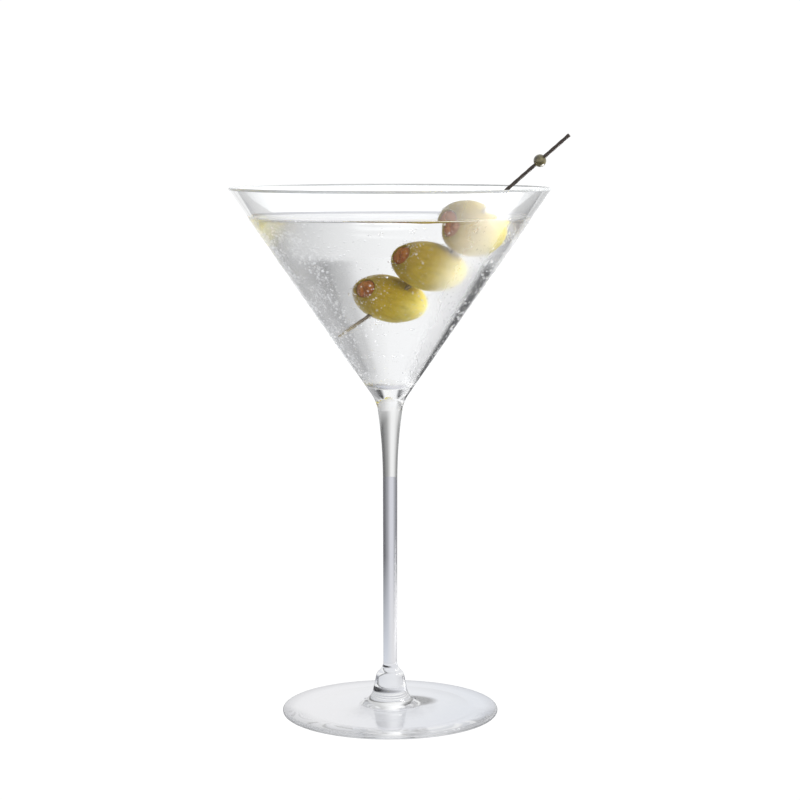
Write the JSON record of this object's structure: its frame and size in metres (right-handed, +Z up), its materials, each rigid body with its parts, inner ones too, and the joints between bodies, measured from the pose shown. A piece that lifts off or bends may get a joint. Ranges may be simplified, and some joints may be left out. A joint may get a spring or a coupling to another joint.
{
  "type": "martini glass",
  "caption": "Stemmed cone-shaped cocktail glass, served with a clear drink and stuffed olives on a beaded pick that leans over the rim.",
  "frame": {"origin": "centre of the foot's resting plane", "axes": "+Z up along the stem; the pick leans over the rim towards +X and -Y"},
  "size_m": [0.1176, 0.114, 0.2088],
  "materials": {
    "glass": "clear, fire-polished",
    "drink": "clear liquid",
    "olive": "wet olive skin",
    "pimento": "wet pimento",
    "pick": "dark bamboo",
    "bead": "lacquered"
  },
  "bodies": {
    "glass": {"bowl": "glass", "stem": "glass", "foot": "glass", "drink": "drink"},
    "pick": {"pick_shaft": "pick", "pick_bead": "bead"},
    "olive_lower": {"olive_lower": "olive", "pimento_lower": "pimento"},
    "olive_middle": {"olive_middle": "olive", "pimento_middle": "pimento"},
    "olive_upper": {"olive_upper": "olive", "pimento_upper": "pimento"}
  },
  "joints": [
    {"name": "garnish_lift", "type": "slide", "parent": "glass", "child": "pick", "axis": [0, 0, 1], "range_m": [0, 0.08], "deforming": ["drink"]},
    {"name": "olive_lower_turn", "type": "hinge", "parent": "pick", "child": "olive_lower", "pos_m": [-0.01473, -0.00987, 0.14059], "axis": [0.7093, -0.2923, 0.6414], "range_deg": [-60, 60], "deforming": ["drink"]},
    {"name": "olive_middle_turn", "type": "hinge", "parent": "pick", "child": "olive_middle", "pos_m": [-0.01473, -0.00987, 0.14059], "axis": [0.7093, -0.2923, 0.6414], "range_deg": [-45, 36], "deforming": ["drink"]},
    {"name": "olive_upper_turn", "type": "hinge", "parent": "pick", "child": "olive_upper", "pos_m": [-0.01473, -0.00987, 0.14059], "axis": [0.7093, -0.2923, 0.6414], "range_deg": [-2, 36], "deforming": ["drink"]}
  ]
}
